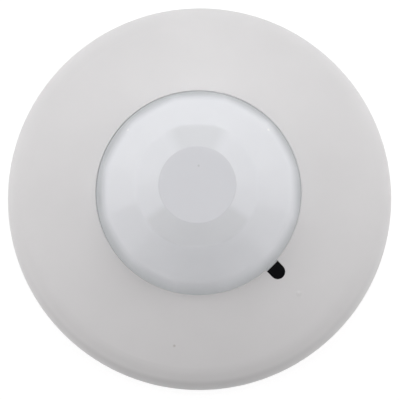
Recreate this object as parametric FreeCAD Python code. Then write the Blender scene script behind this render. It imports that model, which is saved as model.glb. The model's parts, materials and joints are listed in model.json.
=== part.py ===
"""Ceiling motion sensor: round twist-off cover with a domed lens, on a base that carries the circuit board.

Millimetres. Z = 0 is the back face, which lies on the ceiling or box, and +Z runs out through the lens.
+X is the detector's right and +Y its top, seen from the lens side. The origin is the middle of the back face.
Azimuths are in degrees from +X, anticlockwise seen from the lens side.
"""

import FreeCAD
import Part

import math
import os

Vector = FreeCAD.Vector
UP = Vector(0, 0, 1)
ORIGIN = Vector(0, 0, 0)

# Front cover: a dome that runs into a round shoulder.
COVER_R = 57.75
COVER_WALL = 2.0
RIM_Z = 0.5
SHOULDER_R = 9.8
SHOULDER_Z = 1.0
SLOPE_AT_SHOULDER = math.radians(24.4)
SLOPE_AT_LENS = math.radians(17.0)
OPENING_R = 30.67
OPENING_EDGE = 0.25
SEAT_Z = 14.9
SEAT_R = 34.8
SEAT_RIB_R = 36.0
SEAT_RIB_Z = 13.2

# Lens: a flat centre, two sloping zones, a steep wall and a flange, given as radius and height of the outside.
LENS_TOP = 39.4
LENS_CENTRE_R = 11.5
LENS_ZONE_1 = (18.4, 36.7)
LENS_ZONE_2 = (28.5, 28.3)
LENS_FOOT = (30.55, 17.7)
LENS_SKIN = 0.9
LENS_FLANGE_R = 34.6
LENS_FLANGE_T = 1.0
LENS_LEDGE_R = 31.0
LENS_LEDGE_HALF = 2.1
LENS_LEDGE_TOP = 17.3

# Lens gasket and the ring that clips it all under the cover.
GASKET_T = 0.5
GASKET_R = (30.4, 34.4)
RING_R = (28.8, 37.0)
RING_TOP = SEAT_Z - LENS_FLANGE_T - GASKET_T
RING_STEP = 0.3
RING_BOTTOM = 11.2
HOOK_R = (37.2, 38.6)
HOOK_NOSE_R = 36.3
HOOK_GAP = 0.1
HOOK_BOTTOM = 9.9
HOOK_HALF_DEG = 8.0
HOOK_AZIMUTHS = (0, 90, 180, 270)

# Push button in the notch beside the lens.
BUTTON_AZ = -45.0
BUTTON_PLACE_R = 33.35
NOTCH_HALF = 2.3
BUTTON_HALF = 2.2
BUTTON_INNER_R = 31.15
BUTTON_SUNK = 0.15
COLLAR_HALF = 3.2
COLLAR_Z = (14.1, 14.8)
COLLAR_END_R = 2.9
POCKET_HALF = 3.6
POCKET_END_R = 36.5
BUTTON_SHANK_R = 1.5
BUTTON_SHANK_HOLE_R = 1.75
BUTTON_PLAY = 0.05

# Alignment pip on the cover, in line with the button.
PIP_R = 42.3
PIP_RADIUS = 0.9
PIP_HEIGHT = 0.14

# Base plate and the bayonet between it and the cover.
BASE_R = 54.6
BASE_FLOOR = 2.2
BASE_EDGE = 0.6
WALL_R = (49.5, 51.0)
WALL_TOP = 6.5
LUG_AZIMUTHS = (60, 180, 300)
LUG_HALF_DEG = 9.0
BASE_LUG_R = 53.4
BASE_LUG_Z = (4.6, 6.0)
COVER_LUG_R = 51.6
COVER_LUG_Z = (2.9, 4.3)
STOP_DEG = (9.4, 12.0)
CORE_SLOT_R = (51.2, 53.2)
CORE_SLOT_HALF_DEG = 8.5
TWIST_DEG = 20.0

# Fixing slots: two patterns of two, for boxes with 83.3 mm and 88.9 mm screw spacing.
BOX_A_SPACING = 83.3
BOX_B_SPACING = 88.9
SLOT_HALF = 2.2
SLOT_LENGTH = 8.0
SLOT_PAD = 0.5

# Cable window in the floor, and score lines on the back.
WINDOW_X = 12.0
WINDOW_Y = (-38.0, -26.5)
WINDOW_CORNER = 2.0
SCORE_RADII = (7.0, 11.0)
SCORE_WIDTH = 0.7
SCORE_DEPTH = 1.0
RELIEF_R = (41.5, 43.0)
RELIEF_DEPTH = 0.5

# Circuit board.
BOARD_R = 43.0
BOARD_Z = (5.0, 6.6)
BOARD_NOTCH_R = 6.5
BOARD_GATE_X = 13.5
BOARD_GATE_Y = -25.0
LEAD_END_Z = 3.8
SCREW_PLACES = ((37.5, 60.0), (37.5, 200.0), (37.5, 340.0))
SCREW_SHANK_R = 1.25
SCREW_HOLE_R = 1.3
SCREW_HEAD_R = 2.3
SCREW_HEAD_H = 1.6
SCREW_TIP_Z = 1.2
BOSS_R = 3.0
BOSS_BLIND_Z = 0.9

# Pyroelectric detector in its metal can.
PYRO_SPACER = (4.5, 3.6)
PYRO_FLANGE = (4.6, 0.5)
PYRO_CAN_R = 4.1
PYRO_TOP = 14.4
PYRO_WALL = 0.35
PYRO_WINDOW = (5.2, 4.2)
PYRO_LEAD_R = 0.23
PYRO_LEAD_CIRCLE = 2.54
PYRO_LEAD_AZIMUTHS = (45, 135, 270)
FOAM_R = 6.4
FOAM_TOP = 12.6

# Indicator lamp.
LAMP_XY = (0.0, 10.4)
LAMP_R = 1.5
LAMP_RIM_R = 1.75
LAMP_RIM_H = 0.8
LAMP_H = 5.2
LAMP_LEAD_HALF = 0.25
LAMP_LEAD_X = 1.27

# Relay, capacitors, surge suppressor.
RELAY_XY = (-19.0, 5.0)
RELAY_SIZE = (6.4, 19.3, 5.1)
RELAY_PIN_XY = (2.54, 7.62)
PIN_R = 0.3
CAPACITORS = ((14.0, 12.0, 3.15, 7.0), (20.0, 6.2, 2.5, 7.0), (20.0, 13.4, 2.5, 7.0))
CAPACITOR_LEAD_X = 1.0
SURGE_XY = (18.0, -13.0)
SURGE_R = 3.5
SURGE_T = 3.4
SURGE_LEAD_X = 2.5

# Chips and surface-mount parts: centre x, centre y, length, width, legs a side.
CHIP_MAIN = (15.0, -4.0, 8.7, 3.9, 7)
CHIP_AMP = (-8.5, 11.0, 4.9, 3.9, 4)
CHIP_H = 1.5
CHIP_STANDOFF = 0.15
LEG_PITCH = 1.27
LEG_SIZE = (0.42, 1.05, 0.2)
REGULATOR = (-8.0, -10.0, 4.5, 2.5, 1.5)
CHIP_PART = (2.0, 1.25, 0.55)
RESISTOR_ROWS = ((19.0, -12.5, 5.0, 6), (22.5, -12.5, 5.0, 6))
CERAMIC_ROWS = ((26.0, -10.0, 4.0, 6), (-10.6, 1.5, 4.0, 3))

# Jumper header: two columns of three pins.
JUMPER_XY = (-20.0, -12.0)
JUMPER_PITCH = 2.54
JUMPER_BASE_H = 2.5
JUMPER_PIN_HALF = 0.32
JUMPER_PIN_TOP = 12.6
JUMPER_CAP_Z = (9.3, 13.3)
JUMPER_CAPPED_ROWS = (-1, 1)

# Screw terminals.
POLES = 6
POLE_PITCH = 3.81
TERMINAL_HALF_X = 11.65
TERMINAL_Y = (-22.8, -15.5)
TERMINAL_TOP = 15.1
TERMINAL_CHAMFER = 1.2
ENTRY_HALF = 1.45
ENTRY_Z = (8.4, 11.4)
CHAMBER_HALF = 1.55
CHAMBER_Y = (-21.2, -17.2)
CHAMBER_Z = (8.2, 12.6)
CLAMP_HALF = 1.45
CLAMP_CHANNEL_HALF = 1.05
CLAMP_CHANNEL_Z = (8.9, 11.2)
CLAMP_GAP = 0.2
TERMINAL_SCREW_Y = -19.2
TERMINAL_SCREW_BORE_R = 1.5
TERMINAL_SCREW_HEAD_R = 1.35
TERMINAL_SCREW_SHANK_R = 0.9
TERMINAL_SCREW_Z = (11.3, 12.8, 14.4)
TERMINAL_PIN_HALF = 0.4
TERMINAL_PIN_HOLE_R = 0.65
TERMINAL_PIN_Y = -16.4

# Tact switch under the button.
TACT_HALF = 3.0
TACT_BODY_H = 3.2
TACT_PLATE_T = 0.3
TACT_STEM_R = 1.75
TACT_STEM_H = 4.3
TACT_STEM_POCKET_R = 1.85
TACT_STEM_FOOT = 3.0
TACT_POCKET_FLOOR = 2.5
LEG_X, LEG_Y = 3.3, 2.25
LEG_HALF = (0.15, 0.35)

# Tamper switch: a sprung plunger that a ramp inside the cover holds down.
TAMPER_AZ = 135.0
TAMPER_PLACE_R = 39.0
TAMPER_HALF = 3.0
TAMPER_H = 3.0
TAMPER_RISE = 0.9
PLUNGER_R = 1.0
PLUNGER_TOP = 10.55
PLUNGER_FOOT_R = 1.7
PLUNGER_FOOT_Z = (7.9, 8.3)
PLUNGER_GAP = 0.1
TAMPER_WELL_R = 1.85
TAMPER_WELL_Z = (6.9, 9.25)
SPRING_R = 1.25
SPRING_WIRE_R = 0.13
SPRING_WIRE_SIDES = 8
SPRING_PITCH = 0.3
RAMP_HALF_WIDTH = 1.4
RAMP_LEAD_DEG = 3.5
RAMP_TAIL_DEG = 24.0

TALL = 60.0
SLOT_SCREW_W = 0.5


def block(x0, x1, y0, y1, z0, z1):
    """Box between two corners."""
    return Part.makeBox(x1 - x0, y1 - y0, z1 - z0, Vector(x0, y0, z0))


def disc(radius, z0, z1, x=0.0, y=0.0):
    """Upright cylinder."""
    return Part.makeCylinder(radius, z1 - z0, Vector(x, y, z0))


def swung(shape, azimuth):
    """A copy turned about the detector's axis, from +X to an azimuth."""
    copy = shape.copy()
    copy.rotate(ORIGIN, UP, azimuth)
    return copy


def polar(radius, azimuth):
    """X and Y of a point given by radius and azimuth."""
    turn = math.radians(azimuth)
    return radius * math.cos(turn), radius * math.sin(turn)


def rounded_face(corners):
    """Face in the XZ plane from corners (radius, height, fillet), with each filleted corner as a true arc."""
    ends, count = [], len(corners)
    for i, (r, z, fillet) in enumerate(corners):
        here = Vector(r, 0, z)
        back = Vector(corners[i - 1][0], 0, corners[i - 1][1]) - here
        ahead = Vector(corners[(i + 1) % count][0], 0, corners[(i + 1) % count][1]) - here
        if not fillet:
            ends.append((here, None, here))
            continue
        half = back.getAngle(ahead) / 2
        reach = fillet / math.tan(half)
        to_back, to_ahead = Vector(back).normalize(), Vector(ahead).normalize()
        centre = here + (to_back + to_ahead).normalize() * (fillet / math.sin(half))
        middle = centre + (here - centre).normalize() * fillet
        ends.append((here + to_back * reach, middle, here + to_ahead * reach))
    edges = []
    for i, (start, middle, end) in enumerate(ends):
        if middle:
            edges.append(Part.Arc(start, middle, end).toShape())
        following = ends[(i + 1) % count][0]
        if (following - end).Length > 1e-6:
            edges.append(Part.LineSegment(end, following).toShape())
    return Part.Face(Part.Wire(edges))


def turned(face, sweep=360.0):
    """Solid of revolution of a face in the XZ plane."""
    return Part.makeSolid(face.revolve(ORIGIN, UP, sweep).Shells[0])


def sector(r0, r1, z0, z1, middle, half):
    """Part of a flat ring, from middle - half to middle + half degrees."""
    face = rounded_face([(r0, z0, 0), (r1, z0, 0), (r1, z1, 0), (r0, z1, 0)])
    return swung(turned(face, 2 * half), middle - half)


def fused(first, *others):
    """Union with the seams removed."""
    return first.fuse(list(others)).removeSplitter()


def slot_along_x(x, y, half, length, z0, z1):
    """Round-ended slot centred on x, y and running along X."""
    reach = length / 2 - half
    ends = [disc(half, z0, z1, x + side * reach, y) for side in (-1, 1)]
    return fused(block(x - reach, x + reach, y - half, y + half, z0, z1), *ends)


def d_shape(inner_r, half, end_r, z0, z1):
    """Button outline on +X: flat towards the lens, round at the far end."""
    straight = block(inner_r, BUTTON_PLACE_R, -half, half, z0, z1)
    if end_r >= half:
        return fused(straight, disc(half, z0, z1, BUTTON_PLACE_R))
    corner = half - 0.01
    tail = block(BUTTON_PLACE_R, BUTTON_PLACE_R + end_r, -half, half, z0, z1)
    whole = fused(straight, tail)
    far = [e for e in whole.Edges
           if e.BoundBox.ZLength > 0.9 * (z1 - z0) and e.CenterOfMass.x > BUTTON_PLACE_R + end_r - 0.01]
    return whole.makeFillet(min(corner, 1.6), far)


# Curved surface of the cover. The same two arcs serve at any depth below the outside.

SHOULDER_CENTRE = (COVER_R - SHOULDER_R, SHOULDER_Z)
LEAN = (math.sin(SLOPE_AT_SHOULDER), math.cos(SLOPE_AT_SHOULDER))
SHOULDER_END_R = SHOULDER_CENTRE[0] + SHOULDER_R * LEAN[0]
DOME_R = (SHOULDER_END_R - OPENING_R) / (math.sin(SLOPE_AT_SHOULDER) - math.sin(SLOPE_AT_LENS))
DOME_CENTRE = (SHOULDER_CENTRE[0] + (SHOULDER_R - DOME_R) * LEAN[0],
               SHOULDER_CENTRE[1] + (SHOULDER_R - DOME_R) * LEAN[1])


def cover_z(radius, depth=0.0):
    """Height of the dome at a radius, measured at a depth below the outside."""
    return DOME_CENTRE[1] + math.sqrt((DOME_R - depth) ** 2 - (radius - DOME_CENTRE[0]) ** 2)


def cover_curve(inner_r, depth):
    """The two arcs of the cover's section, from the rim inwards to a radius, as edges and their end points."""
    shoulder, dome = SHOULDER_R - depth, DOME_R - depth
    rim = Vector(COVER_R - depth, 0, SHOULDER_Z)
    lean = math.pi / 2 - (math.pi / 2 - SLOPE_AT_SHOULDER) / 2
    on_shoulder = Vector(SHOULDER_CENTRE[0] + shoulder * math.sin(lean), 0,
                         SHOULDER_CENTRE[1] + shoulder * math.cos(lean))
    joint = Vector(SHOULDER_CENTRE[0] + shoulder * LEAN[0], 0, SHOULDER_CENTRE[1] + shoulder * LEAN[1])
    middle_r = (joint.x + inner_r) / 2
    on_dome = Vector(middle_r, 0, DOME_CENTRE[1] + math.sqrt(dome ** 2 - (middle_r - DOME_CENTRE[0]) ** 2))
    inner = Vector(inner_r, 0, cover_z(inner_r, depth))
    edges = [Part.Arc(rim, on_shoulder, joint).toShape(), Part.Arc(joint, on_dome, inner).toShape()]
    return edges, rim, inner


def under_cover(depth):
    """Everything inside the cover's outside surface moved in by a depth, down to the rim."""
    edges, rim, inner = cover_curve(OPENING_R - 5, depth)
    corners = [inner, Vector(0, 0, inner.z), Vector(0, 0, RIM_Z), Vector(rim.x, 0, RIM_Z), rim]
    lines = [Part.LineSegment(a, b).toShape() for a, b in zip(corners, corners[1:])]
    return turned(Part.Face(Part.Wire(edges + lines)))


def cover_shell():
    """Turned shell of the cover, with the seat and rib that hold the lens flange."""
    outer, outer_rim, outer_end = cover_curve(OPENING_R, 0.0)
    inner, inner_rim, inner_end = cover_curve(SEAT_RIB_R, COVER_WALL)
    path = [outer_end, Vector(OPENING_R, 0, SEAT_Z), Vector(SEAT_R, 0, SEAT_Z),
            Vector(SEAT_R, 0, SEAT_RIB_Z), Vector(SEAT_RIB_R, 0, SEAT_RIB_Z), inner_end]
    rim = [inner_rim, Vector(inner_rim.x, 0, RIM_Z), Vector(outer_rim.x, 0, RIM_Z), outer_rim]
    lines = [Part.LineSegment(a, b).toShape() for row in (path, rim) for a, b in zip(row, row[1:])]
    face = Part.Face(Part.Wire(Part.sortEdges(outer + inner + lines)[0]))
    return turned(face)


def lens_hook(azimuth):
    """Clip that snaps under the lens ring, with a sloping nose."""
    nose_z = RING_BOTTOM - HOOK_GAP
    face = rounded_face([
        (HOOK_R[0], SEAT_Z, 0), (HOOK_R[0], nose_z, 0), (HOOK_NOSE_R, nose_z, 0),
        (HOOK_NOSE_R, nose_z - 0.3, 0), (HOOK_R[0], HOOK_BOTTOM, 0), (HOOK_R[1], HOOK_BOTTOM, 0.4),
        (HOOK_R[1], SEAT_Z, 0)])
    return swung(turned(face, 2 * HOOK_HALF_DEG), azimuth - HOOK_HALF_DEG)


def tamper_ramp():
    """Rib whose sloping underside holds the tamper plunger down and lets it rise as the cover turns."""
    middle_az = TAMPER_AZ - TWIST_DEG / 2
    reach = TAMPER_PLACE_R * math.sin(math.radians(TWIST_DEG / 2))
    slope = math.atan(TAMPER_RISE / (2 * reach))
    middle_z = PLUNGER_TOP + PLUNGER_GAP + TAMPER_RISE / 2
    span = RAMP_LEAD_DEG + RAMP_TAIL_DEG
    rib = sector(TAMPER_PLACE_R - RAMP_HALF_WIDTH, TAMPER_PLACE_R + RAMP_HALF_WIDTH, WALL_TOP, SEAT_Z,
                 TAMPER_AZ + RAMP_LEAD_DEG - span / 2, span / 2)
    below = block(0, 2 * TAMPER_PLACE_R, -TAMPER_PLACE_R, TAMPER_PLACE_R, -TALL, 0)
    below.rotate(ORIGIN, Vector(1, 0, 0), -math.degrees(slope))
    below.translate(Vector(0, 0, middle_z))
    return rib.cut(swung(below, middle_az))


def cover_lug(azimuth):
    """Inward bayonet lug of the cover."""
    return sector(COVER_LUG_R, COVER_R - COVER_WALL / 2, *COVER_LUG_Z, azimuth, LUG_HALF_DEG)


def alignment_pip():
    """Shallow cap of a sphere standing on the dome."""
    ball_r = (PIP_RADIUS ** 2 + PIP_HEIGHT ** 2) / (2 * PIP_HEIGHT)
    lean = math.asin((PIP_R - DOME_CENTRE[0]) / DOME_R)
    sink = ball_r - PIP_HEIGHT
    ball = Part.makeSphere(ball_r, Vector(PIP_R - sink * math.sin(lean), 0, cover_z(PIP_R) - sink * math.cos(lean)))
    column = disc(2 * PIP_RADIUS, cover_z(PIP_R) - 1.0, cover_z(PIP_R) + 1.0, PIP_R)
    return swung(ball.common(column), BUTTON_AZ)


def front_cover():
    """Cover with its clips, bayonet lugs, tamper ramp and button notch."""
    inside = under_cover(COVER_WALL / 2)
    inner_parts = [lens_hook(a) for a in HOOK_AZIMUTHS] + [tamper_ramp()]
    grown = [part.common(inside) for part in inner_parts] + [cover_lug(a) for a in LUG_AZIMUTHS]
    body = fused(cover_shell(), *grown)
    lip = [e for e in body.Edges
           if abs(e.BoundBox.ZMin - cover_z(OPENING_R)) < 0.01 and e.BoundBox.XLength > 2 * OPENING_R - 0.1]
    body = body.makeFillet(OPENING_EDGE, lip)
    notch = d_shape(OPENING_R - 3, NOTCH_HALF, NOTCH_HALF, SEAT_RIB_Z - 1, TALL)
    pocket = block(OPENING_R - 3, POCKET_END_R, -POCKET_HALF, POCKET_HALF, SEAT_RIB_Z - 1, SEAT_Z)
    body = body.cut([swung(notch, BUTTON_AZ), swung(pocket, BUTTON_AZ)])
    return fused(body, alignment_pip())


def lens():
    """Domed lens with its flange, which is notched for the button, and a ledge that fills the notch up to it."""
    outside = [(0.0, LENS_TOP), (LENS_CENTRE_R, LENS_TOP), LENS_ZONE_1, LENS_ZONE_2, LENS_FOOT]
    rounding = (0, 3.0, 4.0, 5.0, 0)
    inside = []
    for i, (r, z) in enumerate(outside[1:-1], start=1):
        before = math.atan2(outside[i - 1][1] - z, r - outside[i - 1][0])
        after = math.atan2(z - outside[i + 1][1], outside[i + 1][0] - r)
        lean, spread = (before + after) / 2, (after - before) / 2
        reach = LENS_SKIN / math.cos(spread)
        inside.append((r - reach * math.sin(lean), z - reach * math.cos(lean)))
    foot_in = LENS_FOOT[0] - LENS_SKIN
    flange_z = SEAT_Z - LENS_FLANGE_T
    corners = [(r, z, f) for (r, z), f in zip(outside, rounding)]
    corners += [(LENS_FOOT[0], SEAT_Z, 0), (LENS_FLANGE_R, SEAT_Z, 0), (LENS_FLANGE_R, flange_z, 0)]
    corners += [(foot_in, flange_z, 0), (foot_in, LENS_FOOT[1], 0)]
    corners += [(r, z, f - LENS_SKIN) for (r, z), f in zip(reversed(inside), (5.0, 4.0, 3.0))]
    corners += [(0.0, LENS_TOP - LENS_SKIN, 0)]
    body = turned(rounded_face(corners))
    notch = block(LENS_FOOT[0] + 0.2, LENS_FLANGE_R + 1, -POCKET_HALF, POCKET_HALF, flange_z - 1, SEAT_Z + 1)
    half_deg = math.degrees(math.asin(LENS_LEDGE_HALF / LENS_LEDGE_R))
    ledge = sector(LENS_FOOT[0] - LENS_SKIN / 2, LENS_LEDGE_R, flange_z, LENS_LEDGE_TOP, BUTTON_AZ, half_deg)
    return fused(body.cut(swung(notch, BUTTON_AZ)), ledge)


def lens_gasket():
    """Foam ring between the lens flange and the clip-in ring."""
    ring = disc(GASKET_R[1], RING_TOP, RING_TOP + GASKET_T).cut(disc(GASKET_R[0], RING_TOP - 1, SEAT_Z))
    notch = block(LENS_FOOT[0] + 0.2, GASKET_R[1] + 1, -POCKET_HALF, POCKET_HALF, RING_TOP - 1, SEAT_Z)
    return ring.cut(swung(notch, BUTTON_AZ))


def lens_ring():
    """Ring that clips under the hooks, with a land for the gasket and a hole for the button's shank."""
    face = rounded_face([
        (RING_R[0], RING_BOTTOM, 0.4), (RING_R[1], RING_BOTTOM, 0), (RING_R[1], RING_TOP - RING_STEP, 0),
        (GASKET_R[1] + 0.2, RING_TOP - RING_STEP, 0), (GASKET_R[1] + 0.2, RING_TOP, 0), (RING_R[0], RING_TOP, 0.4)])
    hole = disc(BUTTON_SHANK_HOLE_R, 0, TALL, BUTTON_PLACE_R)
    return turned(face).cut(swung(hole, BUTTON_AZ))


def button_cap():
    """D-shaped key with a collar that keeps it in and a shank that reaches the switch."""
    head = d_shape(BUTTON_INNER_R, BUTTON_HALF, BUTTON_HALF, COLLAR_Z[0], TALL)
    head = head.common(under_cover(BUTTON_SUNK))
    top = [e for e in head.Edges if e.BoundBox.ZMin > COLLAR_Z[1] + 1 and e.BoundBox.ZMax < cover_z(OPENING_R) + 1]
    head = head.makeFillet(0.25, top)
    collar = d_shape(BUTTON_INNER_R, COLLAR_HALF, COLLAR_END_R, *COLLAR_Z)
    shank = disc(BUTTON_SHANK_R, tact_top() + BUTTON_PLAY, COLLAR_Z[0], BUTTON_PLACE_R)
    return swung(fused(head, collar, shank), BUTTON_AZ)


def base_lug(azimuth):
    """Outward bayonet lug of the base, with the stop that the cover's lug meets when it is locked."""
    lug = sector(WALL_R[0] + 0.5, BASE_LUG_R, *BASE_LUG_Z, azimuth, LUG_HALF_DEG)
    stop_middle = azimuth - sum(STOP_DEG) / 2
    stop_half = (STOP_DEG[1] - STOP_DEG[0]) / 2
    stop = sector(WALL_R[0] + 0.5, BASE_LUG_R, BASE_FLOOR - 0.5, BASE_LUG_Z[1], stop_middle, stop_half)
    bridge = sector(WALL_R[0] + 0.5, BASE_LUG_R, *BASE_LUG_Z, azimuth - LUG_HALF_DEG, 1.0)
    return fused(lug, stop, bridge)


def fixing_slots(z0, z1, grow=0.0):
    """The four fixing slots as cutters."""
    half, length = SLOT_HALF + grow, SLOT_LENGTH + 2 * grow
    pair_a = [slot_along_x(side * BOX_A_SPACING / 2, 0, half, length, z0, z1) for side in (-1, 1)]
    pair_b = [swung(slot_along_x(side * BOX_B_SPACING / 2, 0, half, length, z0, z1), 90) for side in (-1, 1)]
    return pair_a + pair_b


def cable_window(z0, z1, grow=0.0):
    """Round-cornered hole in the floor for the cable."""
    hole = block(-WINDOW_X - grow, WINDOW_X + grow, WINDOW_Y[0] - grow, WINDOW_Y[1] + grow, z0, z1)
    upright = [e for e in hole.Edges if e.BoundBox.ZLength > (z1 - z0) / 2]
    return hole.makeFillet(WINDOW_CORNER + grow, upright)


def ring_groove(r0, r1, depth):
    """Round groove in the back face."""
    return disc(r1, -1, depth).cut(disc(r0, -2, depth + 1))


def base_plate():
    """Floor, wall, lugs, screw bosses, fixing slots and cable window."""
    floor = turned(rounded_face([
        (0, 0, 0), (BASE_R, 0, BASE_EDGE), (BASE_R, BASE_FLOOR, BASE_EDGE), (0, BASE_FLOOR, 0)]))
    wall = turned(rounded_face([
        (WALL_R[0], BASE_FLOOR - 0.5, 0), (WALL_R[1], BASE_FLOOR - 0.5, 0), (WALL_R[1], WALL_TOP, 0.3),
        (WALL_R[0], WALL_TOP, 0.3)]))
    bosses = [disc(BOSS_R, BASE_FLOOR - 0.5, BOARD_Z[0], *polar(r, az)) for r, az in SCREW_PLACES]
    pads = [pad for pad in fixing_slots(BASE_FLOOR - 0.5, BASE_FLOOR + SLOT_PAD, 2.0)]
    curb = cable_window(BASE_FLOOR - 0.5, BASE_FLOOR + SLOT_PAD, 1.2)
    body = fused(floor, wall, curb, *pads, *bosses, *[base_lug(a) for a in LUG_AZIMUTHS])
    pilots = [disc(SCREW_HOLE_R, BOSS_BLIND_Z, BOARD_Z[0] + 1, *polar(r, az)) for r, az in SCREW_PLACES]
    core_slots = [sector(*CORE_SLOT_R, -1, BASE_FLOOR + 0.5, a, CORE_SLOT_HALF_DEG) for a in LUG_AZIMUTHS]
    scores = [ring_groove(r, r + SCORE_WIDTH, SCORE_DEPTH) for r in SCORE_RADII]
    relief = ring_groove(*RELIEF_R, RELIEF_DEPTH)
    islands = fixing_slots(-2, TALL, 2.0) + [cable_window(-2, TALL, 1.5)]
    relief = relief.cut(islands)
    cutters = fixing_slots(-1, TALL / 2) + [cable_window(-1, TALL / 2)]
    return body.cut(cutters + pilots + core_slots + scores + [relief])


def lead_holes():
    """Every drilled hole of the board: x, y and radius."""
    holes = [(*polar(r, az), SCREW_HOLE_R + 0.25) for r, az in SCREW_PLACES]
    holes += [(*polar(PYRO_LEAD_CIRCLE, az), 0.4) for az in PYRO_LEAD_AZIMUTHS]
    holes += [(x, y, 0.45) for x, y in lamp_lead_places()]
    holes += [(x, y, PIN_R + 0.15) for x, y in relay_pin_places()]
    holes += [(x, y, 0.4) for x, y in capacitor_lead_places() + surge_lead_places()]
    holes += [(x, y, 0.5) for x, y in jumper_pin_places()]
    holes += [(x, TERMINAL_PIN_Y, TERMINAL_PIN_HOLE_R) for x in pole_places()]
    holes += [(x, y, 0.5) for x, y in switch_leg_places(BUTTON_PLACE_R, BUTTON_AZ)]
    holes += [(x, y, 0.5) for x, y in switch_leg_places(TAMPER_PLACE_R, TAMPER_AZ)]
    return holes


def circuit_board():
    """Round board, cut away over the fixing slots and where the cable comes up to the terminals."""
    board = disc(BOARD_R, *BOARD_Z)
    notches = [disc(BOARD_NOTCH_R, 0, TALL, side * BOX_A_SPACING / 2, 0) for side in (-1, 1)]
    notches += [disc(BOARD_NOTCH_R, 0, TALL, 0, side * BOX_B_SPACING / 2) for side in (-1, 1)]
    gate = block(-BOARD_GATE_X, BOARD_GATE_X, -BOARD_R - 1, BOARD_GATE_Y, 0, TALL)
    drills = [disc(r, 0, TALL, x, y) for x, y, r in lead_holes()]
    return board.cut(notches + [gate] + drills)


def board_screws():
    """Self-tapping screws that hold the board, with a cross recess in each head."""
    screws = []
    for place in SCREW_PLACES:
        x, y = polar(*place)
        face = rounded_face([
            (0, SCREW_TIP_Z, 0), (0.5, SCREW_TIP_Z, 0), (SCREW_SHANK_R, SCREW_TIP_Z + 1.0, 0),
            (SCREW_SHANK_R, BOARD_Z[1], 0), (SCREW_HEAD_R, BOARD_Z[1], 0),
            (SCREW_HEAD_R, BOARD_Z[1] + SCREW_HEAD_H, 0.7), (0, BOARD_Z[1] + SCREW_HEAD_H, 0)])
        screw = turned(face)
        top = BOARD_Z[1] + SCREW_HEAD_H
        cross = [block(-1.1, 1.1, -0.25, 0.25, top - 1.0, top + 1), block(-0.25, 0.25, -1.1, 1.1, top - 1.0, top + 1)]
        screw = screw.cut(cross)
        screw.translate(Vector(x, y, 0))
        screws.append(screw)
    return screws


def pyro_spacer():
    """Plastic stand that lifts the detector to the lens's focus."""
    radius, height = PYRO_SPACER
    holes = [disc(PYRO_LEAD_R + 0.1, 0, TALL, *polar(PYRO_LEAD_CIRCLE, az)) for az in PYRO_LEAD_AZIMUTHS]
    return disc(radius, BOARD_Z[1], BOARD_Z[1] + height).cut(holes)


def pyro_base_z():
    """Height of the underside of the detector's flange."""
    return BOARD_Z[1] + PYRO_SPACER[1]


def pyro_can():
    """Metal can with its flange, hollow, with a window cut in its top."""
    low = pyro_base_z()
    face = rounded_face([
        (0, low, 0), (PYRO_FLANGE[0], low, 0), (PYRO_FLANGE[0], low + PYRO_FLANGE[1], 0),
        (PYRO_CAN_R, low + PYRO_FLANGE[1], 0), (PYRO_CAN_R, PYRO_TOP, 0.5), (0, PYRO_TOP, 0)])
    hollow = disc(PYRO_CAN_R - PYRO_WALL, low + PYRO_FLANGE[1], PYRO_TOP - PYRO_WALL)
    half_x, half_y = PYRO_WINDOW[0] / 2, PYRO_WINDOW[1] / 2
    opening = block(-half_x, half_x, -half_y, half_y, PYRO_TOP - 1, PYRO_TOP + 1)
    return turned(face).cut([hollow, opening])


def pyro_window():
    """Filter plate behind the can's opening."""
    half_x, half_y = PYRO_WINDOW[0] / 2 - 0.05, PYRO_WINDOW[1] / 2 - 0.05
    return block(-half_x, half_x, -half_y, half_y, PYRO_TOP - 0.6, PYRO_TOP - 0.1)


def pyro_leads():
    """Three wires from the can down through the board."""
    return [disc(PYRO_LEAD_R, LEAD_END_Z, pyro_base_z(), *polar(PYRO_LEAD_CIRCLE, az)) for az in PYRO_LEAD_AZIMUTHS]


def pyro_foam():
    """Foam collar that keeps draughts and insects off the can."""
    low = BOARD_Z[1]
    collar = disc(FOAM_R, low, FOAM_TOP)
    return collar.cut([disc(PYRO_FLANGE[0] + 0.05, low - 1, pyro_base_z() + PYRO_FLANGE[1] + 0.05),
                       disc(PYRO_CAN_R + 0.05, low, TALL)])


def lamp_lead_places():
    """Where the lamp's two leads go through the board."""
    return [(LAMP_XY[0] + side * LAMP_LEAD_X, LAMP_XY[1]) for side in (-1, 1)]


def lamp():
    """Domed indicator lamp with its rim."""
    low = BOARD_Z[1]
    face = rounded_face([
        (0, low, 0), (LAMP_RIM_R, low, 0), (LAMP_RIM_R, low + LAMP_RIM_H, 0), (LAMP_R, low + LAMP_RIM_H, 0),
        (LAMP_R, low + LAMP_H, LAMP_R - 0.05), (0, low + LAMP_H, 0)])
    body = turned(face)
    body.translate(Vector(*LAMP_XY, 0))
    return body


def square_leads(places, half, z0, z1):
    """Square pins standing at given places."""
    return [block(x - half, x + half, y - half, y + half, z0, z1) for x, y in places]


def relay_pin_places():
    """Where the relay's four pins go."""
    return [(RELAY_XY[0] + sx * RELAY_PIN_XY[0], RELAY_XY[1] + sy * RELAY_PIN_XY[1])
            for sx in (-1, 1) for sy in (-1, 1)]


def box_part(x, y, length, width, z0, z1, edge):
    """Moulded box with its upper edges bevelled."""
    body = block(x - length / 2, x + length / 2, y - width / 2, y + width / 2, z0, z1)
    top = [e for e in body.Edges if e.BoundBox.ZMin > z1 - 0.001]
    return body.makeChamfer(edge, top)


def relay():
    """Sealed alarm relay."""
    return box_part(*RELAY_XY, RELAY_SIZE[0], RELAY_SIZE[1], BOARD_Z[1], BOARD_Z[1] + RELAY_SIZE[2], 0.4)


def capacitor_lead_places():
    """Where the capacitors' leads go."""
    return [(x + side * CAPACITOR_LEAD_X, y) for x, y, _, _ in CAPACITORS for side in (-1, 1)]


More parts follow.
